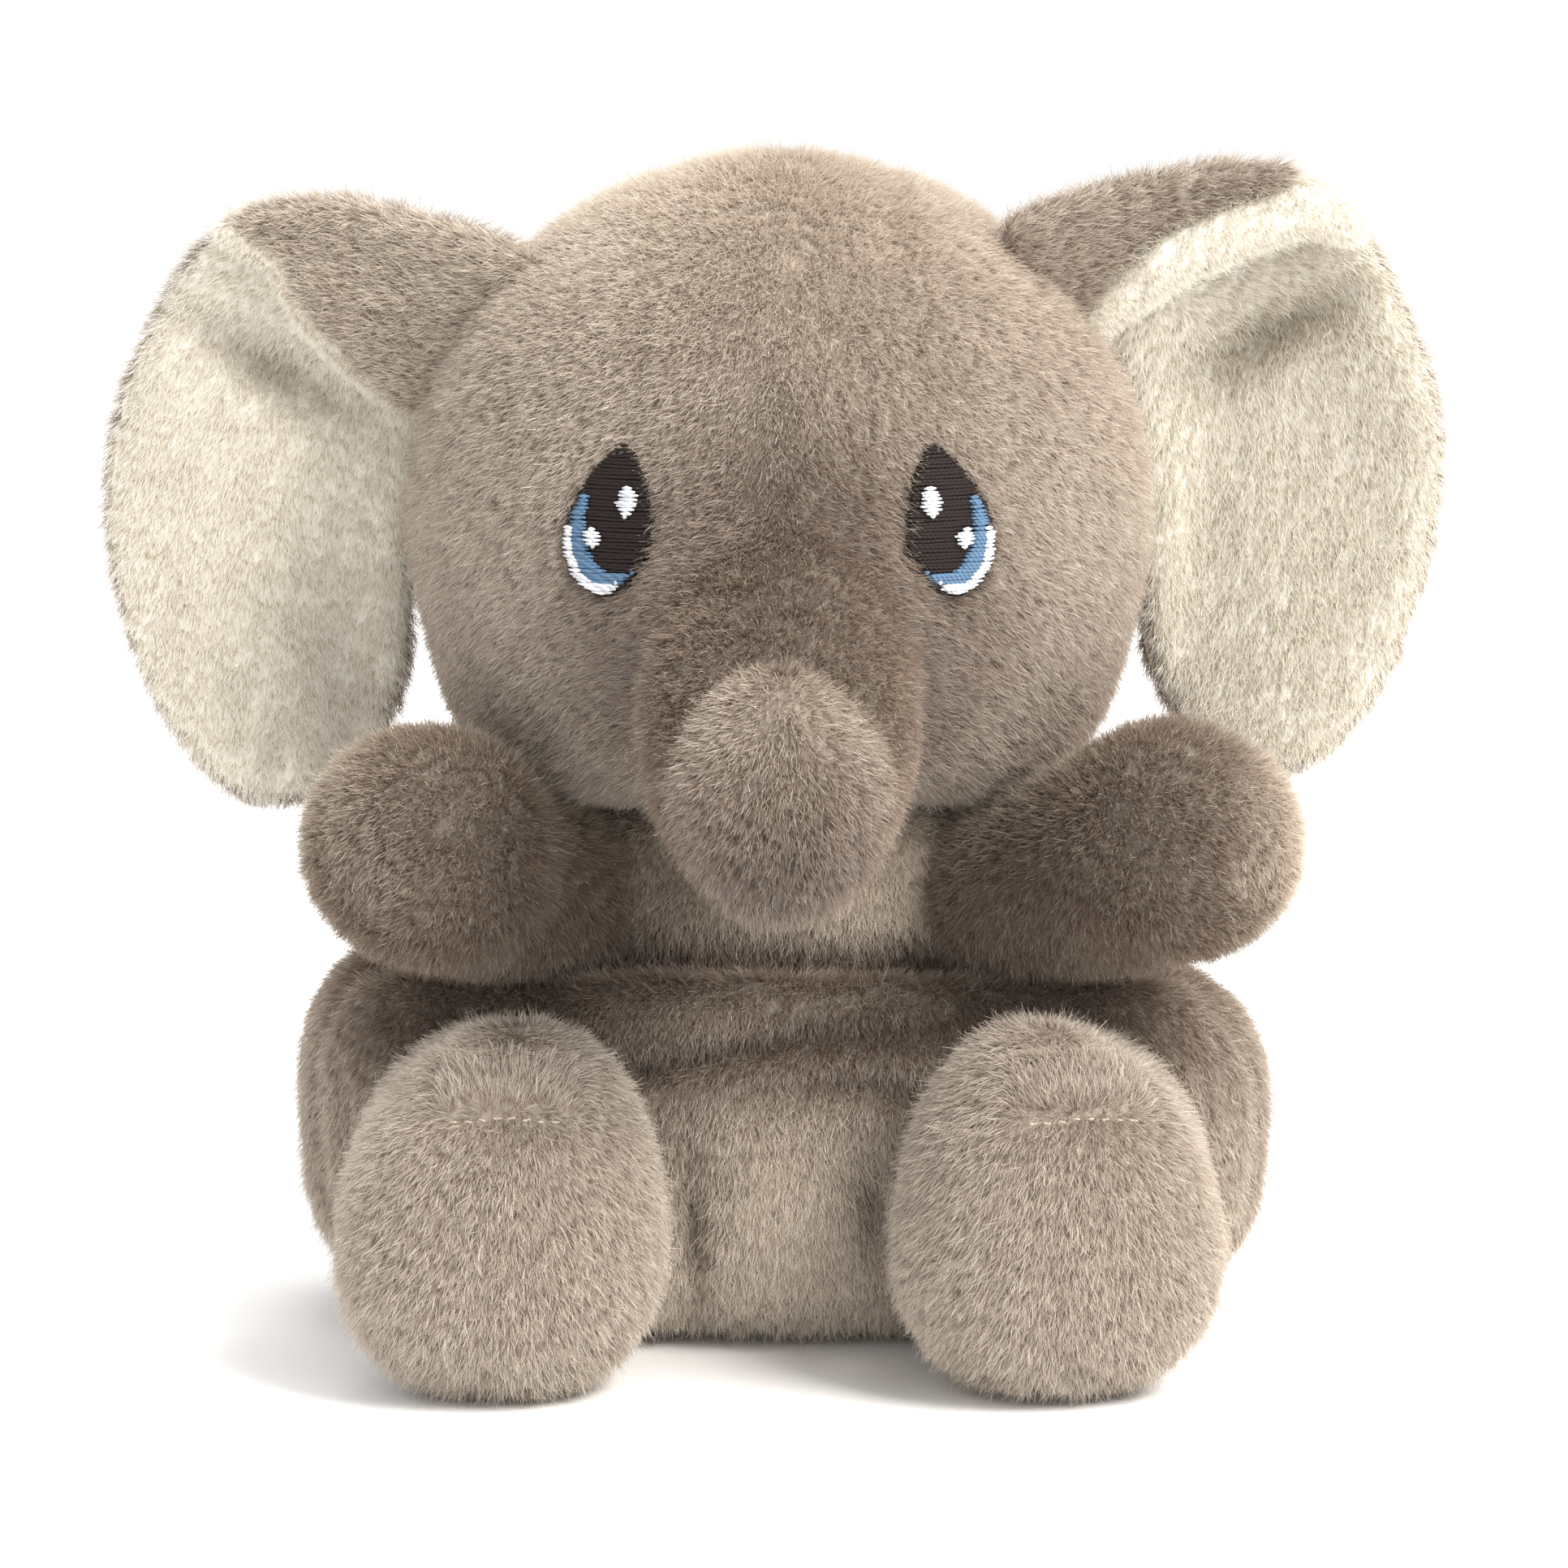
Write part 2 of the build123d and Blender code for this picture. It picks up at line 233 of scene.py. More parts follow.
def plush_material(name, colour, contrast=0.35, with_painted_light=True):
    """Backing seen between the fibres: streaked, mottled and slightly bumpy, with the pile's painted light
    and shade on it.
    """
    material, tree = node_material(name)
    place = add(tree, "ShaderNodeTexCoord").outputs["Object"]
    drawn = add(tree, "ShaderNodeMapping", {"Vector": place, "Scale": (1, 1, 0.35)})
    fine = add(tree, "ShaderNodeTexNoise", {"Vector": drawn.outputs[0], "Scale": 2600.0, "Detail": 3.0})
    broad = add(tree, "ShaderNodeTexNoise", {"Vector": place, "Scale": 160.0, "Detail": 2.0})
    streaks = blend(tree, fine.outputs["Fac"], colour, 1 - contrast, 1 + contrast)
    mottle = add(tree, "ShaderNodeMix", {
        "Factor": 0.35, "A": streaks, "B": broad.outputs["Fac"],
    }, data_type="RGBA", blend_type="OVERLAY")
    bump = add(tree, "ShaderNodeBump", {
        "Height": fine.outputs["Fac"], "Strength": 0.6, "Distance": 0.0006,
    })
    final = mottle.outputs["Result"]
    # painted light and shade: the colour scaled by a per-point attribute
    if with_painted_light:
        painted_light_and_tone = add(tree, "ShaderNodeAttribute", attribute_name="painted_light_and_tone")
        final = add(tree, "ShaderNodeVectorMath", {0: final, "Scale": painted_light_and_tone.outputs["Fac"]},
                    operation="SCALE").outputs[0]
    shader = add(tree, "ShaderNodeBsdfPrincipled", {
        "Base Color": final, "Roughness": 0.95, "Normal": bump.outputs[0],
        "Sheen Weight": 0.35, "Sheen Roughness": 0.4,
    })
    return finished(material, shader)


def fibre_material(name, shades):
    """Fibres with painted shade that darkens them towards the root, through given colours from dark to
    bright.
    """
    material, tree = node_material(name)
    strand = add(tree, "ShaderNodeHairInfo")
    painted_light_and_tone = add(tree, "ShaderNodeAttribute", attribute_name="painted_light_and_tone")
    # painted shade deep in the pile: darker at the root, lighter at the tip
    along = add(tree, "ShaderNodeMapRange", {
        "Value": strand.outputs["Intercept"],
        "From Min": 0.1, "From Max": 0.95, "To Min": 0.24, "To Max": 0.60,
    }, interpolation_type="SMOOTHSTEP")
    shade = add(tree, "ShaderNodeMath", {0: along.outputs[0], 1: painted_light_and_tone.outputs["Fac"]}, operation="MULTIPLY")
    ramp = add(tree, "ShaderNodeValToRGB", {"Fac": shade.outputs[0]})
    stops = ramp.color_ramp.elements
    between = [stops.new(at / 2) for at, _ in shades[1:-1]]
    for (_, colour), stop in zip(shades, [stops[0], *between, stops[-1]]):
        stop.color = rgba(colour)
    diffuse = add(tree, "ShaderNodeBsdfDiffuse", {"Color": ramp.outputs[0]})
    gloss = add(tree, "ShaderNodeBsdfHair", {
        "Color": (0.95, 0.9, 0.84, 1), "RoughnessU": 0.2, "RoughnessV": 0.5,
    }, component="Reflection")
    through = add(tree, "ShaderNodeBsdfTranslucent", {"Color": ramp.outputs[0]})
    soft = add(tree, "ShaderNodeMixShader", {0: 0.28, 1: diffuse.outputs[0], 2: through.outputs[0]})
    whole = add(tree, "ShaderNodeMixShader", {0: 0.12, 1: soft.outputs[0], 2: gloss.outputs[0]})
    return finished(material, whole)


def thread_material(name, colour, roughness):
    """Twisted shiny thread."""
    material, tree = node_material(name)
    place = add(tree, "ShaderNodeTexCoord").outputs["Object"]
    twisted = add(tree, "ShaderNodeTexWave", {
        "Vector": place, "Scale": 900.0, "Distortion": 1.5, "Detail": 1.0,
    }, bands_direction="DIAGONAL")
    mix = blend(tree, twisted.outputs["Fac"], colour, 0.7, 1.15)
    bump = add(tree, "ShaderNodeBump", {
        "Height": twisted.outputs["Fac"], "Strength": 0.4, "Distance": 0.0002,
    })
    shader = add(tree, "ShaderNodeBsdfPrincipled", {
        "Base Color": mix, "Roughness": roughness, "Normal": bump.outputs[0],
        "Specular IOR Level": 0.25,
    })
    return finished(material, shader)


def speckled_material(name, colour, roughness, scale):
    """A plain surface with a fine grain."""
    material, tree = node_material(name)
    place = add(tree, "ShaderNodeTexCoord").outputs["Object"]
    grain = add(tree, "ShaderNodeTexNoise", {"Vector": place, "Scale": scale, "Detail": 2.0})
    mix = blend(tree, grain.outputs["Fac"], colour, 0.85, 1.05)
    shader = add(tree, "ShaderNodeBsdfPrincipled", {"Base Color": mix, "Roughness": roughness})
    return finished(material, shader)


def woven_material(name, colour):
    """Satin ribbon: fine crossing threads with a soft shine."""
    material, tree = node_material(name)
    place = add(tree, "ShaderNodeTexCoord").outputs["Object"]
    warp, weft = (
        add(tree, "ShaderNodeTexWave", {"Vector": place, "Scale": scale}, bands_direction=way)
        for scale, way in ((1300.0, "X"), (900.0, "Z"))
    )
    weave = add(tree, "ShaderNodeMath", {
        0: warp.outputs["Fac"], 1: weft.outputs["Fac"],
    }, operation="MULTIPLY")
    mix = blend(tree, weave.outputs[0], colour, 0.82, 1.08)
    bump = add(tree, "ShaderNodeBump", {
        "Height": weave.outputs[0], "Strength": 0.5, "Distance": 0.0001,
    })
    shader = add(tree, "ShaderNodeBsdfPrincipled", {
        "Base Color": mix, "Roughness": 0.45, "Normal": bump.outputs[0],
        "Sheen Weight": 0.2,
    })
    return finished(material, shader)


# ---------------------------------------------------------------- pile


def towards(x, y, z):
    way = np.array((x, y, z), float)
    return lambda points: np.broadcast_to(way, points.shape)


def scatter(obj, density):
    """Random places on the surface with their normals, evenly by area."""
    mesh = obj.data
    mesh.calc_loop_triangles()
    tris = np.empty(len(mesh.loop_triangles) * 3, np.int32)
    mesh.loop_triangles.foreach_get("vertices", tris)
    tris = tris.reshape(-1, 3)
    points, normals = points_of(obj), normals_of(obj)
    a, b, c = (points[tris[:, k]] for k in range(3))
    area = np.linalg.norm(np.cross(b - a, c - a), axis=1) / 2
    count = int(area.sum() * density)
    pick = rng.choice(len(tris), count, p=area / area.sum())
    u, v = rng.random(count), rng.random(count)
    over = u + v > 1
    u[over], v[over] = 1 - u[over], 1 - v[over]
    weights = np.stack((1 - u - v, u, v), 1)
    place = (points[tris[pick]] * weights[:, :, None]).sum(1)
    normal = (normals[tris[pick]] * weights[:, :, None]).sum(1)
    return place, unit(normal)


def unit(vectors):
    return vectors / np.maximum(np.linalg.norm(vectors, axis=1), 1e-9)[:, None]


def paint_light_on_backing(obj, painted_light_and_tone):
    """Gives the backing the same painted light and shade as the pile on it."""
    points, normals = points_of(obj), normals_of(obj)
    shade = np.ones(len(points)) * (1.0 if painted_light_and_tone is None else painted_light_and_tone(points, normals))
    layer = obj.data.attributes.new("painted_light_and_tone", "FLOAT", "POINT")
    layer.data.foreach_set("value", shade.astype(np.float32))


def lay_pile(obj, body, material, length, comb, lie=0.7, keep=None, painted_light_and_tone=None):
    """Combed fibres on a piece. lie is from 0, upright, to 1, flat along comb(points)."""
    paint_light_on_backing(obj, painted_light_and_tone)
    place, normal = scatter(obj, pile_density / tuft_size)
    if keep is not None:
        kept = keep(place, normal)
        place, normal = place[kept], normal[kept]
    count = len(place)
    way = unit(np.array(comb(place), float))
    way += 0.16 * np.stack([lumps_noise(place, 9.0, s) for s in (1.0, 2.0, 3.0)], 1)
    way -= (way * normal).sum(1)[:, None] * normal
    way = unit(way)
    lean = np.full(count, lie) if np.isscalar(lie) else lie(place, normal)
    lean = lean * (1 + 0.16 * lumps_noise(place, 3.0, 5.0))
    # painted light and shade of the piece, then random tone
    shade = np.ones(count) * (1.0 if painted_light_and_tone is None else painted_light_and_tone(place, normal))
    shade = shade * (1 + 0.07 * lumps_noise(place, 5.0, 9.0))

    place, normal, way = (np.repeat(x, tuft_size, 0) for x in (place, normal, way))
    lean, shade = (np.repeat(x, tuft_size) for x in (lean, shade))
    total = count * tuft_size
    spread = rng.normal(0, tuft_spread, (total, 3))
    spread -= (spread * normal).sum(1)[:, None] * normal
    tall = length * (0.72 + 0.42 * rng.random(total))
    guard = rng.random(total) < guard_share
    tall[guard] *= 1.3
    shade = shade * (0.84 + 0.30 * rng.random(total))
    # painted glints: a share of fibres made brighter
    shade[rng.random(total) < painted_glint_share] *= 2.1
    way = way + 0.30 * rng.normal(size=(total, 3))
    lean = np.clip(lean + rng.normal(0, 0.07, total) - 0.14 * guard, 0.03, 0.97)
    wild = 0.14 * rng.normal(size=(total, 3))
    path = np.empty((total, fibre_steps, 3))
    path[:, 0] = place + spread - 0.15 * normal
    reach = path[:, 0].copy()
    for k in range(1, fibre_steps):
        share = k / (fibre_steps - 1)
        flat = np.clip(lean * (0.6 + 0.5 * share), 0, 0.97)[:, None]
        step = unit(normal * (1 - flat) + way * flat + wild * share)
        reach = reach + step * (tall / (fibre_steps - 1))[:, None]
        path[:, k] = reach - spread * tuft_gather * share
    fibres(obj.name + "_pile", body, material, path, shade)


def fibres(name, body, material, path, shade):
    curves = bpy.data.hair_curves.new(name)
    total, steps, _ = path.shape
    curves.add_curves([steps] * total)
    curves.attributes["position"].data.foreach_set("vector", (path * MM).astype(np.float32).ravel())
    radius = np.linspace(root_radius, tip_radius, steps) * MM
    thick = curves.attributes.get("radius") or curves.attributes.new("radius", "FLOAT", "POINT")
    thick.data.foreach_set("value", np.tile(radius, total).astype(np.float32))
    # per fibre: painted light and shade, painted glints and random tone
    painted_light_and_tone = curves.attributes.new("painted_light_and_tone", "FLOAT", "CURVE")
    painted_light_and_tone.data.foreach_set("value", shade.astype(np.float32))
    obj = bpy.data.objects.new(name, curves)
    bpy.context.scene.collection.objects.link(obj)
    curves.materials.append(material)
    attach(obj, body)


# ---------------------------------------------------------------- the toy

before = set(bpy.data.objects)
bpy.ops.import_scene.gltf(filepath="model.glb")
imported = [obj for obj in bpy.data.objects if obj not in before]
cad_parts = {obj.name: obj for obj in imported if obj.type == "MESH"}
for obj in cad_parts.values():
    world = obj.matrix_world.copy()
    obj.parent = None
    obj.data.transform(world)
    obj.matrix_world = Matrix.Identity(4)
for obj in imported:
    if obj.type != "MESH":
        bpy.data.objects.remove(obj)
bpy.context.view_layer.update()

grey_plush = plush_material("grey_plush", tuple(0.62 * c for c in grey_fibre))
cream_plush = plush_material("cream_plush", tuple(0.85 * c for c in cream_fibre), contrast=0.15)
grey_pile = fibre_material("grey_pile", grey_shades)
cream_pile = fibre_material("cream_pile", cream_shades)
eye_threads = {
    "dark": thread_material("dark_thread", (0.012, 0.006, 0.005), roughness=0.5),
    "blue": thread_material("blue_thread", (0.10, 0.185, 0.30), roughness=0.4),
    "white": thread_material("white_thread", (0.74, 0.76, 0.80), roughness=0.5),
}
seam_thread = thread_material("seam_thread", (0.52, 0.44, 0.34), roughness=0.7)
tack_material = thread_material("tack_thread", (0.16, 0.11, 0.08), roughness=0.7)
# darker plush as painted shade on the neck under the chin
neck_plush_painted_shade = plush_material("neck_plush_painted_shade", tuple(0.4 * c for c in grey_fibre), with_painted_light=False)
bag_cloth = speckled_material("bag_cloth", (0.70, 0.66, 0.57), 0.9, 900.0)
pellet_plastic = speckled_material("pellet_plastic", (0.80, 0.80, 0.77), 0.45, 300.0)
label_satin = woven_material("label_satin", (0.80, 0.80, 0.77))


def sewn(obj, body, material, nodes):
    """Makes a soft piece ride on its body and stand for its CAD nodes, if it has any."""
    obj.data.materials.append(material)
    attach(obj, body)
    if nodes:
        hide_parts(*nodes)
    return obj


def merged(name, lumps, body, material, node):
    """Several small closed solids as one piece that stands for a CAD node."""
    obj = new_mesh(name, *joined(lumps))
    return detail(obj, body, material, node)


def detail(obj, body, material, node):
    """Makes a piece ride on its body and stand for one CAD node."""
    obj.data.materials.append(material)
    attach(obj, body)
    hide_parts(node)
    return obj


# Seams and small parts
seam_height = 30.6  # of the sole's seam on the front of the foot
sole_stitches = 8
sole_pitch = 1.45
closing_stitches = 6
closing_low = 33.5
closing_pitch = 1.8
neck_centre = np.array((0.0, 3.0, 54.0))
neck_radii = (14.3, 13.2)  # outside and inside of the neck's cap
label_x = 20.0
label_width = 10.0
label_length = 24.0  # of the flat tape, before it is folded in two

# Head
head_half = (39.5, 34.7)
head_centre = np.array((0.0, 3.5, 90.1))
head_profile = [
    (0.0, -1.0), (0.42, -0.975), (0.72, -0.86), (0.9, -0.62), (1.0, -0.22), (0.975, 0.16),
    (0.83, 0.51), (0.56, 0.80), (0.26, 0.96), (0.0, 1.0),
]
trunk_root = np.array((0.0, -32.0, 76.0))
muzzle_middle = np.array((0.0, -38.0, 78.0))
eye_centre = (16.5, 89.0)
eye_half = (4.3, 7.6)
eye_lean = 12.0
thread_pitch = 0.34  # between the rows of satin stitch
seam_dip = 0.9
gusset_half = 11.0


def head_skin(directions):
    """Points of the head's surface in given directions from its middle."""
    radius, half = (size - pile_inset for size in head_half)
    flat = np.hypot(directions[:, 0], directions[:, 1])
    angle = np.arctan2(directions[:, 2] / half, flat / radius)
    smooth = np.interp(angle, fine_angles, fine_reach)
    scale = smooth / np.hypot(flat / radius, directions[:, 2] / half)
    return head_centre + directions * scale[:, None]


def smooth_profile():
    """The head's profile as a smooth curve of reach against angle."""
    out, up = np.array(head_profile).T
    angles, reach = np.arctan2(up, out), np.hypot(out, up)
    fine = np.linspace(-math.pi / 2, math.pi / 2, 361)
    value = np.interp(fine, angles, reach)
    kernel = np.hanning(41)
    kernel /= kernel.sum()
    padded = np.concatenate((value[40:0:-1], value, value[-2:-42:-1]))
    return fine, np.convolve(padded, kernel, "same")[40:-40]


fine_angles, fine_reach = smooth_profile()


def on_head(x, z, proud=0.0):
    """The point of the face at x and z, so far proud of the backing."""
    y = -30.0
    for _ in range(12):
        way = np.array([[x, y - head_centre[1], z - head_centre[2]]])
        skin = head_skin(way / np.linalg.norm(way))[0]
        y = skin[1]
        scale = np.linalg.norm(np.array((x, y, z)) - head_centre) / np.linalg.norm(skin - head_centre)
        y = head_centre[1] + (y - head_centre[1]) / scale
    normal = unit(np.array([[x, (y - head_centre[1]), (z - head_centre[2]) * 1.1]]))[0]
    return np.array((x, y, z)) + normal * proud, normal


def make_head():
    verts, faces = unit_sphere(6)
    skin = head_skin(verts)
    obj = new_mesh("head_skin", skin, faces)

    def creases(points, normals):
        x, y, z = points.T
        crown = np.clip((z - 92) / 6, 0, 1)
        dip = crown * (ridge(np.abs(x) - gusset_half - 0.12 * (124 - z), 1.3)) * seam_dip * 0.5
        below = np.clip((82 - z) / 6, 0, 1) * ridge(x, 1.2) * seam_dip * 0.6
        off_axis = np.hypot(x, z - 75.5 - 0.62 * (y + 33))
        muzzle = 4.6 * ridge(np.maximum(off_axis - 9.0, 0), 7.0) * (y < 0)
        for s in SIDES.values():
            across, up = egg_place(x, z, s)
            muzzle = muzzle * np.clip((np.hypot(across, up) - 1.0) / 0.6, 0, 1)
        behind = np.clip((y + 14) / 10, 0, 1)
        cheeks = (1.2 + 1.8 * behind) * ridge(z - 63, 7.5) * np.clip((np.abs(x) - 8) / 12, 0, 1)
        soft = 0.45 * lumps_noise(points, 17.0, 1.0) + 0.2 * lumps_noise(points, 7.0, 2.0)
        return points + normals * (muzzle + cheeks + soft - dip - below)[:, None]

    reshape(obj, creases)
    sewn(obj, "head", grey_plush,
         ["head_gusset", "head_left_panel", "head_right_panel", "head_filling"])

    def comb(points):
        rel = points - head_centre
        way = np.stack((rel[:, 0] * 0.030, np.zeros(len(rel)), -np.ones(len(rel)) * 0.8), 1)
        from_root = points - trunk_root
        near = ridge(np.linalg.norm(from_root, axis=1), 26.0)[:, None]
        away = unit(from_root) * np.array((1.0, 0.2, 0.9))
        return way * (1 - near) + away * near * np.array((1.0, 1.0, 0.3)) - np.array((0, 0.25, 0))

    def clear_of_eyes(points, normals):
        clear = np.ones(len(points), bool)
        for s in SIDES.values():
            clear &= ~(inside_egg(points[:, 0], points[:, 2], s, 1.0) & (points[:, 1] < -10))
        hidden = np.linalg.norm(points - trunk_root, axis=1) < 10.0
        return clear & ~hidden

    # Painted light and shade: a lighter crown under the top lamp, painted shade on the muzzle round the
    # trunk's root and on the lower face, and the left side, towards the key lamp, darkened below the eyes.
    def painted_light_and_tone(points, normals):
        x, y, z = points.T
        crown = np.clip((z - 104) / 18, 0, 1)
        root = np.clip((29 - np.linalg.norm((points - muzzle_middle) / (1.0, 1.0, 0.9), axis=1)) / 13, 0, 1)
        low = np.clip((84 - z) / 16, 0, 1) * (y < 10)
        lit = np.clip(x / 20, 0, 1) * np.clip((92 - z) / 16, 0, 1) * (y < 10)
        return 1.05 + 0.34 * crown - 0.46 * root - 0.18 * low - 0.12 * lit

    lay_pile(obj, "head", grey_pile, 1.9, comb, lie=0.56, keep=clear_of_eyes, painted_light_and_tone=painted_light_and_tone)


def egg_place(x, z, s):
    """x and z in an eye's own leaning axes, as shares of its half sizes."""
    dx, dz = x - eye_centre[0] * s, z - eye_centre[1]
    lean = math.radians(eye_lean) * s
    across = dx * math.cos(lean) + dz * math.sin(lean)
    up = -dx * math.sin(lean) + dz * math.cos(lean)
    return across / eye_half[0], up / eye_half[1]


def egg_width(up):
    """Half width of the egg at a height from -1 to 1, narrower at the top."""
    up = np.clip(up, -1, 1)
    return np.sqrt(np.clip(1 - up**2, 0, 1)) * (1.0 - 0.30 * up - 0.12 * up**2)


def inside_egg(x, z, s, grow=1.0):
    across, up = egg_place(x, z, s)
    return np.abs(across) < egg_width(up / grow) * grow


def runs_of(flags):
    """First and last place of each run of at least three true flags."""
    found, start = [], None
    for i, flag in enumerate([*flags, False]):
        if flag and start is None:
            start = i
        if not flag and start is not None:
            if i - start >= 3:
                found.append((start, i - 1))
            start = None
    return found


def add_thread(verts, faces, line, radius):
    """Adds one six-sided thread with narrow ends along a line of (point, normal) pairs."""
    around, base, last = 6, len(verts), len(line) - 1
    for k, (point, normal) in enumerate(line):
        taper = 0.35 if k in (0, last) else 1.0
        along = unit((line[min(k + 1, last)][0] - line[max(k - 1, 0)][0])[None])[0]
        side = np.cross(normal, along)
        for q in range(around):
            t = 2 * math.pi * q / around
            verts.append(point + taper * radius * (math.cos(t) * side + math.sin(t) * normal))
    for k in range(last):
        for q in range(around):
            a, b = base + around * k + q, base + around * k + (q + 1) % around
            faces.append([a, b, b + around, a + around])
    faces.append([base + q for q in range(around - 1, -1, -1)])
    faces.append([base + around * last + q for q in range(around)])


def make_thread_rows(side, kind, inside, proud, radius=0.26):
    """Satin stitches: rows of thread side by side across every place that inside() allows."""
    x0, z0 = eye_centre[0] * SIDES[side], eye_centre[1]
    verts, faces = [], []
    xs = np.arange(-7.0, 7.0, 0.16)
    for row, dz in enumerate(np.arange(-9.0, 9.0, thread_pitch)):
        z = z0 + dz + 0.03 * math.sin(row * 2.1)
        for first, last in runs_of(inside(x0 + xs, np.full(len(xs), z))):
            jitter = rng.normal(0, 0.07, 2)
            count = max(int((xs[last] - xs[first]) / 0.5), 3)
            line = []
            for k, dx in enumerate(np.linspace(xs[first] + jitter[0], xs[last] + jitter[1], count)):
                arch = proud + 0.12 * math.sin(math.pi * k / (count - 1))
                line.append(on_head(x0 + dx, z + 0.02 * math.sin(row * 1.3) * dx, arch))
            add_thread(verts, faces, line, radius)
    obj = new_mesh(f"eye_{side}_{kind}", verts, faces)
    detail(obj, "head", eye_threads[kind], f"eye_{side}_{kind}_thread")


def make_eye(side):
    s = SIDES[side]

    def ground(x, z):
        return inside_egg(x, z, s)

    def iris(x, z):
        across, up = egg_place(x, z, s)
        across = across * s
        outer = inside_egg(x, z, s, 0.90)
        hole = ((across + 0.30) / 0.86) ** 2 + ((up - 0.20) / 0.86) ** 2 < 1
        return outer & ~hole & (up < 0.25)

    def rim(x, z):
        across, up = egg_place(x, z, s)
        across = across * s
        outer = inside_egg(x, z, s, 0.95)
        hole = ((across + 0.09) / 0.87) ** 2 + ((up - 0.09) / 0.90) ** 2 < 1
        return outer & ~hole & (up < -0.2) & (across > -0.5)

    def glints(x, z):
        across, up = egg_place(x, z, s)
        across = across * s
        upper = ((across + 0.30) / 0.25) ** 2 + ((up - 0.30) / 0.20) ** 2 < 1
        lower = ((across - 0.30) / 0.24) ** 2 + ((up + 0.26) / 0.12) ** 2 < 1
        return upper | lower

    make_thread_rows(side, "dark", ground, 0.95, radius=0.24)
    make_thread_rows(side, "blue", iris, 1.28)
    make_thread_rows(side, "white", lambda x, z: glints(x, z) | rim(x, z), 1.45)


def make_trunk():
    path = [(0, -30, 77.5, 13.0), (0, -36, 73.4, 13.2), (0, -43.5, 69.0, 13.0), (0, -50.5, 66.2, 12.2),
            (0, -54.2, 65.6, 11.7)]
    obj = fused("trunk_skin", chain(path), voxel=0.9, smoothing=10)

    def shape(points, normals):
        _, y, z = points.T
        tip = np.clip((-y - 48) / 12, 0, 1)
        blunt = np.clip((-y - 58) / 8, 0, 1)
        points[:, 0] *= 1 - 0.10 * tip - 0.015 * np.clip(z - 66, 0, 12) * tip
        points[:, 1] += 2.2 * blunt**2
        hang = tip * np.clip((67 - z) / 12, 0, 1)
        points[:, 2] -= 2.0 * hang**2
        points[:, 0] *= 1 - 0.05 * hang
        soft = 0.3 * lumps_noise(points, 10.0, 4.0)
        ring = -0.7 * ridge(y + 55.0, 1.8) * np.clip((z - 66) / 6, 0, 1)
        return points + normals * (soft + ring)[:, None]

    reshape(obj, shape)
    sewn(obj, "trunk", grey_plush,
         ["trunk_upper_panel", "trunk_under_panel", "trunk_filling"])
    tip = np.array((0.0, -58.0, 65.0))

    def comb(points):
        away = points - tip
        front = np.clip((-points[:, 1] - 54) / 5, 0, 1)[:, None]
        along = np.array((0.0, -0.9, -0.5)) + 0 * away
        return along * (1 - front) + unit(away * (0.6, 0.0, 0.4) - (0, 0, 8.0)) * front

    # Painted shade on the whole trunk, lighter on the tip's end and darker on its lower part.
    def painted_light_and_tone(points, normals):
        front = np.clip((-points[:, 1] - 53) / 6, 0, 1)
        low = np.clip((74 - points[:, 2]) / 16, 0, 1)
        return 0.64 + 0.34 * front - 0.52 * low * front - 0.06 * low

    lay_pile(obj, "trunk", grey_pile, 1.9, comb, lie=0.5, painted_light_and_tone=painted_light_and_tone,
             keep=lambda p, n: np.linalg.norm(p - head_centre, axis=1) > 33)


def lap_folds(points):
    """The soft folds across the front of the seat, as pairs of height and share."""
    x, y, z = points.T
    lap = np.clip((-y - 6) / 6, 0, 1) * np.clip((50 - np.abs(x)) / 8, 0, 1)
    return [
        (1.4, lap * ridge(z - 37.0 - 0.8 * np.sin(x / 9), 2.6)),
        (-2.0, lap * ridge(z - 32.4 - 0.07 * x - 1.2 * np.sin(x / 8 + 1), 1.7) * ridge(x + 8, 20)),
        (-1.6, lap * ridge(z - 29.0 + 0.10 * x - 1.0 * np.sin(x / 6), 1.6) * ridge(x - 12, 14)),
        (1.6, lap * ridge(z - 16, 9) * ridge(x - 1, 8)),
        (-2.6, lap * ridge(x + 8.6 + 0.06 * (z - 12), 1.8) * ridge(z - 13, 6.5)),
        (-2.2, lap * ridge(x - 9.8 + 0.10 * (z - 15), 1.8) * ridge(z - 16, 5.0)),
    ]


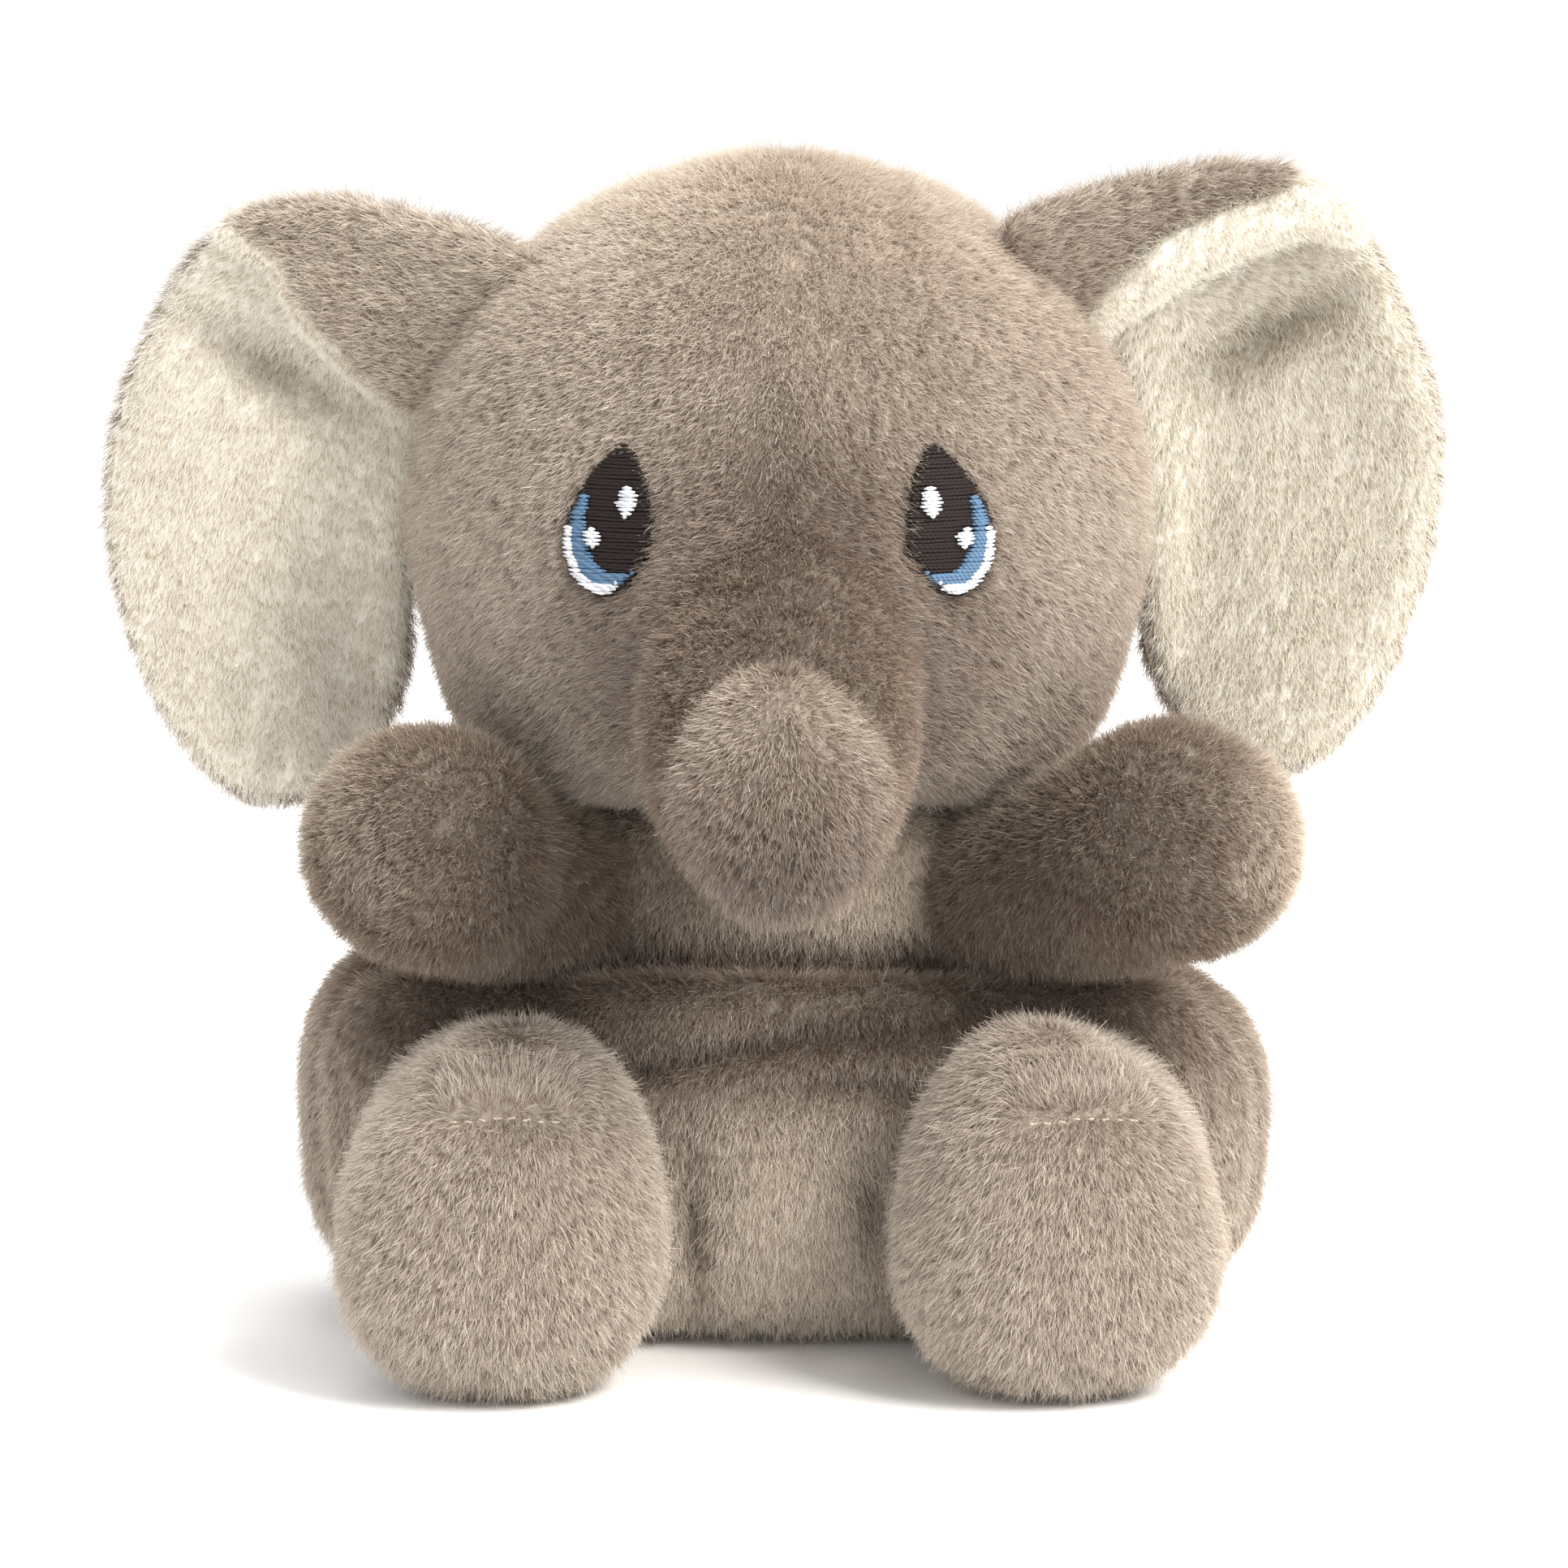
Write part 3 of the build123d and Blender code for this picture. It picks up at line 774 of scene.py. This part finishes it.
def make_torso():
    seat = lump((0.6, -0.5, 19.0), (51.0, 22.4, 19.0), power=3.3, level=5)
    chest = lump((0, 4, 44), (25, 14.5, 13), power=2.3)
    neck = lump((0, 3, 55), (12, 11, 9))
    hips = [lump((s * 33, -4, 18), (17, 18, 17)) for s in SIDES.values()]
    obj = fused("torso_skin", [seat, chest, neck, *hips], voxel=1.1, smoothing=4)

    def folds(points, normals):
        x, y, z = points.T
        points[:, 0] *= 1 + 0.0016 * np.clip(z - 22, -22, 16)
        high = np.clip((z - 20) / 16, 0, 1)
        points[:, 2] += high * (1.6 * np.clip((np.abs(x) - 22) / 12, 0, 1) + 0.6 * np.sin(x / 9 + 2))
        points[:, 2] += high * 3.6 * np.clip((-x - 34) / 10, 0, 1)
        fold = sum(height * shape for height, shape in lap_folds(points))
        valley = -2.2 * ridge(y + 9.0, 3.2) * np.clip((z - 35) / 3, 0, 1) * ridge(x, 42)
        side = -1.2 * ridge(y + 11 - 0.15 * (z - 20), 2.0) * np.clip((np.abs(x) - 42) / 5, 0, 1)
        back = -0.7 * ridge(x, 1.0) * (y > 5) * (z > 30)
        soft = 0.8 * lumps_noise(points, 19.0, 6.0) + 0.35 * lumps_noise(points * (1, 1, 0.6), 7.0, 8.0)
        points = points + normals * (fold + valley + side + back + soft)[:, None]
        return flat_below(points, 0.3)

    reshape(obj, folds)
    sewn(obj, "torso", grey_plush,
         ["torso_front_panel", "torso_back_panel", "torso_filling"])

    def comb(points):
        x = points[:, 0]
        return np.stack((0.006 * x, -0.15 + 0 * x, -1 + 0 * x), 1)

    # Painted light and shade on the seat: the lower front lighter, a painted shadow band under the lap's
    # top, the chest lifted out of its shade, painted shade in the lap's creases and light on its ridges,
    # and the outer left side, towards the key lamp, darker.
    def painted_light_and_tone(points, normals):
        x, y, z = points.T
        low = np.clip((28 - z) / 20, 0, 1) * (y < 0)
        lap = np.clip((z - 27) / 8, 0, 1) * (y < 6)
        outer = np.clip((np.abs(x) - 42) / 8, 0, 1)
        chest = np.clip((z - 40) / 4, 0, 1) * (y < 0)
        folds = sum(height * share for height, share in lap_folds(points))
        lit = outer * (x > 0) * (y < 6)
        shade = 0.95 + 0.58 * low * (1 - 0.6 * outer) - 0.50 * lap * (1 - outer)
        shade = shade + chest * (1.05 + 0.40 * np.clip((x - 2) / 10, -1, 1))
        return shade + 0.21 * folds - 0.12 * lit

    def lie(points, normals):
        return np.where(points[:, 2] > 36, 0.6, 0.78)

    def bare(points, normals):
        x, y, z = points.T
        under_label = (np.abs(x - label_x) < 4.6) & (np.abs(z - 13.4) < 4.8) & (y > 10)
        return (z > 2.0) & ~under_label

    lay_pile(obj, "torso", grey_pile, 2.1, comb, lie=lie, painted_light_and_tone=painted_light_and_tone, keep=bare)
    make_closing(obj)
    make_label(obj)


def make_arm(side):
    s = SIDES[side]
    end = {"left": ((40.4, -24.5, 55.2, 11.5), (41.6, -25.5, 55.0, 11.3)),
           "right": ((35.8, -24.5, 54.4, 11.4), (36.9, -25.5, 54.6, 11.3))}[side]
    path = [(25, -3, 45.5, 9.6), (32, -14, 50.2, 9.9), *end]
    path = [(x * s, y, z, radius) for x, y, z, radius in path]
    obj = fused(f"arm_{side}_skin", chain(path), voxel=0.9, smoothing=8)

    def shape(points, normals):
        soft = 0.5 * lumps_noise(points, 11.0, 12.0 + s)
        return points + normals * soft[:, None]

    reshape(obj, shape)
    sewn(obj, f"arm_{side}", grey_plush, [f"arm_{side}_cover", f"arm_{side}_filling"])
    way = unit(np.array([[16.0 * s, -22.0, 8.0]]))[0]
    tip = np.array(path[-1][:3])

    def comb(points):
        return way * 0.6 + unit(points - tip) * 0.5 - np.array((0, 0, 0.35))

    # Painted shade on the arms, lighter on their outer sides and tops.
    def painted_light_and_tone(points, normals):
        outward = np.clip(normals[:, 0] * s * 1.3 - 0.35, 0, 1)
        above = np.clip(normals[:, 2] - 0.3, 0, 1)
        return 0.60 + (0.60 + 0.25 * s) * outward + 0.25 * above

    lay_pile(obj, f"arm_{side}", grey_pile, 2.0, comb, lie=0.42, painted_light_and_tone=painted_light_and_tone)


def make_leg(side):
    s = SIDES[side]
    x = 28.4 * s
    foot = lump((x, -35.0, 15.4), (16.2, 13.6, 15.6), power=2.2, level=5)
    above = np.clip((foot[0][:, 2] - 15.4) / 15.6, 0, 1)
    foot[0][:, 2] += above * 6.6
    foot[0][:, 0] += (x - foot[0][:, 0]) * 0.14 * above - s * 2.4 * above**2
    shin = lump((28.5 * s, -23, 19.0), (15.0, 14.5, 16.0))
    obj = fused(f"leg_{side}_skin", [foot, shin], voxel=1.0, smoothing=6)
    seam = np.array((x - 1.0 * s if side == "right" else x + 2.0, -47.0, seam_height))

    def off_seam(points):
        return points[:, 2] - seam_height + 0.012 * (points[:, 0] - seam[0]) ** 2

    def shape(points, normals):
        px, y, z = points.T
        front = np.clip((-y - 38) / 4, 0, 1)
        crease = -0.8 * ridge(off_seam(points), 1.0) * front * ridge(px - seam[0], 6.0)
        above = 0.5 * ridge(z - 26, 5.0) * front
        soft = 0.5 * lumps_noise(points, 12.0, 20.0 + s)
        points = points + normals * (crease + above + soft)[:, None]
        return flat_below(points, 0.3)

    reshape(obj, shape)
    sewn(obj, f"leg_{side}", grey_plush,
         [f"leg_{side}_upper", f"leg_{side}_sole", f"leg_{side}_filling"])

    def comb(points):
        rel = points - seam
        above = np.clip(off_seam(points) / 1.5 + 0.5, 0, 1) * np.clip((9.0 - np.abs(rel[:, 0])) / 3, 0, 1)
        above *= np.clip((7 - rel[:, 2]) / 3, 0, 1)
        fan = np.stack((rel[:, 0] * 0.05, 0 * rel[:, 0], 1.5 * above - 1.0), 1)
        back = points[:, 1] > -36
        fan[back] = np.stack((rel[back, 0] * 0.03, 0.3 + 0 * rel[back, 0], -0.4 + 0 * rel[back, 0]), 1)
        return fan

    # feet slightly lightened, with painted shade towards the top of the left foot, the side the key lamp
    # lights
    lay_pile(obj, f"leg_{side}", grey_pile, 2.1, comb, lie=0.72, keep=lambda p, n: p[:, 2] > 1.6,
             painted_light_and_tone=lambda p, n: 1.09 - (0.02 + 0.12 * np.clip((p[:, 2] - 20) / 12, 0, 1)) * (p[:, 0] > 0))
    make_sole_stitches(side, seam, obj)


def make_sole_stitches(side, seam, skin):
    """A few short stitches, mostly sunk in the pile, along the seam of the sole."""
    points = points_of(skin)
    bars = []
    for i in range(sole_stitches):
        x = seam[0] + (i - (sole_stitches - 1) / 2) * sole_pitch
        z = seam_height - 0.012 * (x - seam[0]) ** 2
        near = np.hypot(points[:, 0] - x, points[:, 2] - z) < 1.3
        y = points[near, 1].min() - 0.95
        middle = (x, y, z + 0.1 * math.sin(5 * i))
        half = (0.42 + 0.12 * math.sin(3.1 * i), 0.13, 0.11)
        bars.append(lump(middle, half, turn=(0, 12 * math.sin(i), 0), level=2))
    body = f"leg_{side}"
    merged(f"{body}_stitches", bars, body, seam_thread, f"{body}_seam_thread")


# Ears: outlines as (x outward, z), and the roll's path as (x outward, z, radius)
ear_middle = np.array((53.0, 9.0, 90.0))
ear_dish = 70.0
fold_lift = 3.4
ear_outline = [
    (25.4, 117.6), (35.5, 120.8), (47.5, 122.6), (58.2, 119.2), (65.8, 108.6), (70.4, 95.0),
    (69.2, 79.5), (63.6, 66.2), (55.0, 58.8), (45.0, 61.4), (39.2, 71.0), (38.0, 88.0),
    (36.0, 97.0), (32.8, 105.2), (27.0, 112.8),
]
ear_shift = {"left": (0.0, 0.0), "right": (1.2, -3.6)}
ear_tack = {"left": ((35.0, 112.6), (41.0, 117.4)), "right": ((46.5, 115.0), (37.6, 107.6))}
tack_count = 7
ear_flap = {
    "left": [(23.5, 116.6), (31.0, 119.8), (40.0, 121.6), (48.0, 122.8), (53.5, 122.4), (49.6, 119.6),
             (41.5, 117.2), (33.8, 111.6), (29.6, 105.2), (26.0, 110.0)],
    "right": [(24.5, 116.9), (33.0, 120.2), (44.7, 122.6), (53.0, 122.2), (56.4, 119.8), (52.0, 117.0),
              (49.0, 111.2), (43.6, 105.6), (37.6, 100.6), (33.0, 103.8), (28.0, 112.5)],
}
ear_roll = {
    "left": [(30.2, 103.6, 1.8), (34.6, 108.2, 2.2), (41.6, 113.4, 2.7), (49.0, 116.8, 3.0),
             (55.6, 118.6, 2.7), (59.6, 116.6, 1.8)],
    "right": [(39.6, 101.8, 0.9), (43.4, 104.6, 1.0), (48.6, 110.2, 1.1), (51.8, 116.6, 1.2),
              (56.5, 119.4, 1.5)],
}


def closed_curve(points, count):
    """Evenly spaced places on a smooth closed curve through points."""
    points = np.array(points)
    n = len(points)
    t = np.linspace(0, n, count, endpoint=False)
    i = t.astype(int)
    f = (t - i)[:, None]
    p = [points[(i + k) % n] for k in (-1, 0, 1, 2)]
    return 0.5 * (
        2 * p[1] + (p[2] - p[0]) * f + (2 * p[0] - 5 * p[1] + 4 * p[2] - p[3]) * f**2
        + (-p[0] + 3 * p[1] - 3 * p[2] + p[3]) * f**3
    )


def pillow(name, outline, middle, surface, front, rings=26, count=150, edge=3.4):
    """A sheet with a rounded rim: one side follows surface() and the other stands off it."""
    rim = closed_curve(outline, count)
    centre = np.array(middle)
    verts, faces = [], []
    shares = 1 - (1 - np.linspace(0, 1, rings + 1)[1:]) ** 1.8
    lengths = np.linalg.norm(rim - centre, axis=1)

    def layer(off):
        start = len(verts)
        verts.append(surface(*centre, off))
        for r in shares:
            at = centre + (rim - centre) * r
            inside = np.clip((1 - r) * lengths / edge, 0, 1)
            height = off * np.sqrt(1 - (1 - inside) ** 2)
            verts.extend(surface(x, z, h) for (x, z), h in zip(at, height))
        return start

    a = layer(front)
    b = layer(0.0)
    for start, flip in ((a, False), (b, True)):
        for k in range(count):
            tri = [start, start + 1 + k, start + 1 + (k + 1) % count]
            faces.append(tri[::-1] if flip else tri)
        for r in range(rings - 1):
            for k in range(count):
                i = start + 1 + r * count
                quad = [i + k, i + count + k, i + count + (k + 1) % count, i + (k + 1) % count]
                faces.append(quad[::-1] if flip else quad)
    obj = new_mesh(name, verts, faces)
    faced_outward(obj, merge=0.00001)
    obj.data.polygons.foreach_set("use_smooth", [True] * len(obj.data.polygons))
    return obj


def pocket_share(across, up):
    """How much a place of the ear, from its middle, lies in the hollow under the folded top."""
    return np.exp(-(((across + 2) / 10) ** 2) - ((up - 15.5 - 0.5 * across) / 3.6) ** 2)


def make_ear(side):
    s = SIDES[side]
    body = f"ear_{side}"
    out, up = ear_shift[side]
    mx, my, mz = ear_middle + (out, 0, up)

    def dish(x, z, off):
        """x outward from the middle plane; off towards the back."""
        dx, dz = x - mx, z - mz
        y = my - ear_dish + math.sqrt(ear_dish**2 - dx**2 - dz**2)
        wave = 0.9 * math.sin(dz / 11 + dx / 17 + s) * min(max(dx + 20, 0) / 20, 1)
        pocket = 3.4 * pocket_share(dx, dz)
        valley = 1.4 * math.exp(-(((dx + 7 - 0.1 * dz) / 4.5) ** 2)) * min(max((20 - dz) / 20, 0), 1)
        return np.array((x * s, y + wave + pocket + valley + off, z))

    outline = [(x + out, z + up) for x, z in ear_outline]
    centre = (mx + 0.5, mz + 1.0)
    near_head = 0.925 if side == "left" else 0.975
    inner = [((x - centre[0]) * (near_head if x < centre[0] else 0.975) + centre[0],
              (z - centre[1]) * 0.98 + centre[1]) for x, z in outline]
    front = pillow(f"ear_{side}_inner", inner, centre, dish, -2.0)
    back = pillow(f"ear_{side}_outer", outline, centre, dish, 2.2)
    sewn(front, body, cream_plush, [f"ear_{side}_inner_ply"])
    sewn(back, body, grey_plush, [f"ear_{side}_outer_ply"])

    # Painted light and shade on the ear's inner ply: a painted shadow in the hollow under the folded top;
    # the right ear lighter and darker towards its outer edge; the left ear darker, with a lighter strip
    # near the head.
    def ear_shade(points, normals):
        hollow = pocket_share(points[:, 0] * s - mx, points[:, 2] - mz)
        if side == "right":
            rim = np.clip((np.abs(points[:, 0]) - 60) / 8, 0, 1)
            return 1.10 - 0.22 * hollow - 0.14 * rim
        return 0.87 + 0.18 * ridge(points[:, 0] - 39, 5.0) - 0.34 * hollow

    def comb(points):
        rel = points - np.array((40.0 * s, 5.0, 108.0))
        return unit(rel) * np.array((0.5, 0.2, 1.0)) - np.array((0, 0, 0.45))

    lay_pile(front, body, cream_pile, 1.9, comb, lie=0.74, keep=lambda p, n: n[:, 1] < 0.25,
             painted_light_and_tone=ear_shade)
    lay_pile(back, body, grey_pile, 2.0, comb, lie=0.66, keep=lambda p, n: n[:, 1] > -0.6)

    # the top of the ear, folded forward beside the head
    def fold(x, z, off):
        p = dish(x, z, 0.0)
        free = min(max((120.0 + up - z) / 7, 0), 1)
        return np.array((p[0], p[1] - fold_lift * (0.35 + 0.65 * free) + off, p[2]))

    flap = [(x + out, z + up) for x, z in ear_flap[side]]
    flap_middle = (38.0 + out, 116.5 + up)
    over = pillow(f"ear_{side}_fold", flap, flap_middle, fold, -1.8, rings=16, count=110, edge=2.6)
    sewn(over, body, grey_plush, [])
    # painted light: the right ear's fold lighter than the left's
    lay_pile(over, body, grey_pile, 2.1, towards(0.9 * s, 0, 0.25), lie=0.66,
             keep=lambda p, n: n[:, 1] < 0.3, painted_light_and_tone=lambda p, n: 1.11 - 0.15 * s)

    edge = [(*fold(x + out, z + up, -0.4), radius) for x, z, radius in ear_roll[side]]
    roll = fused(f"ear_{side}_roll", chain(edge, step=0.7), voxel=0.6, smoothing=5)
    sewn(roll, body, cream_plush, [])
    lay_pile(roll, body, cream_pile, 1.5, towards(0.6 * s, 0, -0.8), lie=0.6, painted_light_and_tone=lambda p, n: 1.05)

    # the stitches that tack the fold down
    bars = []
    (x0, z0), (x1, z1) = ear_tack[side]
    for i in range(tack_count):
        share = i / (tack_count - 1)
        x, z = x0 + (x1 - x0) * share + out, z0 + (z1 - z0) * share + up
        turn = (0, -35 * s + 25 * math.sin(2.3 * i), 0)
        bars.append(lump(fold(x, z, -2.7), (0.55, 0.12, 0.12), turn=turn, level=2))
    merged(f"ear_{side}_tacks", bars, body, tack_material, f"ear_{side}_tack_thread")


def back_of(skin, x, z, reach=1.6):
    """How far back a skin comes at x and z."""
    points = points_of(skin)
    near = np.hypot(points[:, 0] - x, points[:, 2] - z) < reach
    return points[near, 1].max()


def make_closing(skin):
    """Ladder stitches, mostly sunk in the pile, where the back was closed by hand."""
    bars = []
    for i in range(closing_stitches):
        z = closing_low + closing_pitch * i
        middle = (0.1 * math.sin(4 * i), back_of(skin, 0, z) + 1.0, z)
        bars.append(lump(middle, (1.05, 0.14, 0.12), turn=(0, -17, 0), level=2))
    merged("back_stitches", bars, "torso", seam_thread, "back_closing_thread")


def make_label(skin):
    """A blank satin tape, folded at its lower end, with both cut ends sewn to the seat."""
    low = 8.2  # where the tape turns back
    gap = 0.7  # between its two layers
    stand = 0.4  # how much further off the seat it is at the fold
    half_thick = 0.08
    straight = (label_length - math.pi * gap / 2) / 2
    base = back_of(skin, label_x, 13.0) + pile_inset
    path = [(base + stand * t, low + straight * (1 - t)) for t in np.linspace(0, 1, 14)]
    for angle in np.linspace(0, math.pi, 10)[1:-1]:
        path.append((base + stand + gap / 2 * (1 - math.cos(angle)), low - gap / 2 * math.sin(angle)))
    path += [(base + gap + stand * (1 - t), low + straight * t) for t in np.linspace(0, 1, 14)]
    path = np.array(path)
    along = unit(np.gradient(path, axis=0))
    off = np.stack((-along[:, 1], along[:, 0]), 1) * half_thick
    verts, faces = [], []
    across = np.linspace(-label_width / 2, label_width / 2, 9)
    for at in (path + off, path - off):
        for y, z in at:
            verts += [(label_x + w, y + 0.12 * math.sin(w / 1.7), z) for w in across]
    rows, columns = len(path), len(across)
    under = rows * columns
    for start in (0, under):
        for i in range(rows - 1):
            for k in range(columns - 1):
                a = start + i * columns + k
                faces.append([a, a + 1, a + columns + 1, a + columns])
    for i in range(rows - 1):
        for k in (0, columns - 1):
            a, b = i * columns + k, (i + 1) * columns + k
            faces.append([a, b, b + under, a + under])
    for k in range(columns - 1):
        for i in (0, rows - 1):
            a = i * columns + k
            faces.append([a, a + 1, a + 1 + under, a + under])
    obj = faced_outward(new_mesh("label_tape", verts, faces))
    detail(obj, "torso", label_satin, "sewn_in_label")


def make_neck():
    """The gathered cap of the neck, pleated towards its thread ring."""
    around, rings = 144, 20
    verts, faces = [], []
    for radius in neck_radii:
        for elevation in np.linspace(0.03, math.pi / 2 - 0.03, rings):
            pleat = 0.35 * math.cos(elevation)
            for k in range(around):
                angle = 2 * math.pi * k / around
                r = radius + pleat * math.cos(24 * angle + 0.6 * math.sin(5 * angle))
                flat = r * math.cos(elevation)
                verts.append((flat * math.cos(angle), flat * math.sin(angle), r * math.sin(elevation)))
    shell = around * rings
    for k in range(around):
        m = (k + 1) % around
        for i in range(rings - 1):
            a, b = i * around + k, i * around + m
            faces.append([a, b, b + around, a + around])
            faces.append([a + shell + around, b + shell + around, b + shell, a + shell])
        faces.append([k, k + shell, m + shell, m])
    top = (rings - 1) * around
    faces.append([top + k for k in range(around)])
    faces.append([top + shell + k for k in range(around - 1, -1, -1)])
    obj = new_mesh("neck_skin", np.array(verts) + neck_centre, faces)
    sewn(obj, "neck", neck_plush_painted_shade, ["neck_gather"])
    # painted shade under the chin: the neck's pile darkened
    lay_pile(obj, "neck", grey_pile, 1.0, towards(0, 0, -1), lie=0.7, painted_light_and_tone=lambda p, n: 0.6,
             keep=lambda p, n: (np.linalg.norm(p - neck_centre, axis=1) > 13.7) & (p[:, 2] > 54.8))


def make_bag():
    """The cotton bag of pellets, hidden in the seat."""
    obj = fused("bag_skin", [lump((0, 9.6, 17.2), (37.4, 11.2, 11.2), power=3.2)], voxel=1.2, smoothing=2)

    def sag(points, normals):
        return points - normals * (0.2 * np.abs(lumps_noise(points, 8.0, 30.0)))[:, None]

    reshape(obj, sag)
    sewn(obj, "torso", bag_cloth, ["pellet_bag"])


def make_tail():
    path = [(0, 25.6, 28.0, 3.0), (0, 31.0, 19.0, 2.4), (0, 35.2, 11.2, 2.0)]
    obj = fused("tail_skin", chain(path, step=0.8), voxel=0.5, smoothing=5)
    sewn(obj, "tail", grey_plush, ["tail_cover"])
    lay_pile(obj, "tail", grey_pile, 2.0, towards(0, 0.1, -1), lie=0.7)


# ---------------------------------------------------------------- studio


def make_studio():
    scene = bpy.context.scene
    world = bpy.data.worlds.new("studio")
    scene.world = world
    world.use_nodes = True
    world.node_tree.nodes["Background"].inputs[0].default_value = (1.0, 1.0, 1.0, 1.0)
    world.node_tree.nodes["Background"].inputs[1].default_value = 1.0
    scene.view_settings.view_transform = "Standard"

    bpy.ops.mesh.primitive_plane_add(size=6.0, location=(0, 0, 0))
    floor = bpy.context.object
    floor.name = "floor"
    material, tree = node_material("floor")
    shader = add(tree, "ShaderNodeBsdfPrincipled", {"Base Color": (0.99, 0.99, 0.99, 1), "Roughness": 0.9})
    floor.data.materials.append(finished(material, shader))

    def lamp(name, place, size, power, colour=(1, 1, 1)):
        data = bpy.data.lights.new(name, "AREA")
        data.size = size
        data.energy = power
        data.color = colour
        obj = bpy.data.objects.new(name, data)
        scene.collection.objects.link(obj)
        obj.location = place
        way = Vector((0, 0, 0.07)) - Vector(place)
        obj.rotation_euler = way.to_track_quat("-Z", "Y").to_euler()

    lamp("key", (0.60, -0.50, 0.75), 0.45, 14.0, (1.0, 0.97, 0.92))
    lamp("top", (0.05, 0.15, 1.0), 0.6, 5.0, (1.0, 0.98, 0.95))

    camera = bpy.data.objects.new("camera", bpy.data.cameras.new("camera"))
    scene.collection.objects.link(camera)
    tilt = math.radians(camera_elevation)
    away = Vector((0, -math.cos(tilt), math.sin(tilt))) * camera_distance * MM
    camera.location = Vector(aim) * MM + away
    camera.rotation_euler = (-away).to_track_quat("-Z", "Y").to_euler()
    camera.data.lens = lens
    camera.data.sensor_width = 36.0
    scene.camera = camera


make_head()
make_trunk()
make_torso()
make_neck()
make_bag()
make_tail()
for side in SIDES:
    make_arm(side)
    make_leg(side)
    make_ear(side)
    make_eye(side)

cad_materials = {"pellets": pellet_plastic, "neck_seam_thread": tack_material}
for node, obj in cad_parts.items():
    if obj.hide_render:
        continue
    obj.data.materials.clear()
    obj.data.materials.append(cad_materials[node])

make_studio()
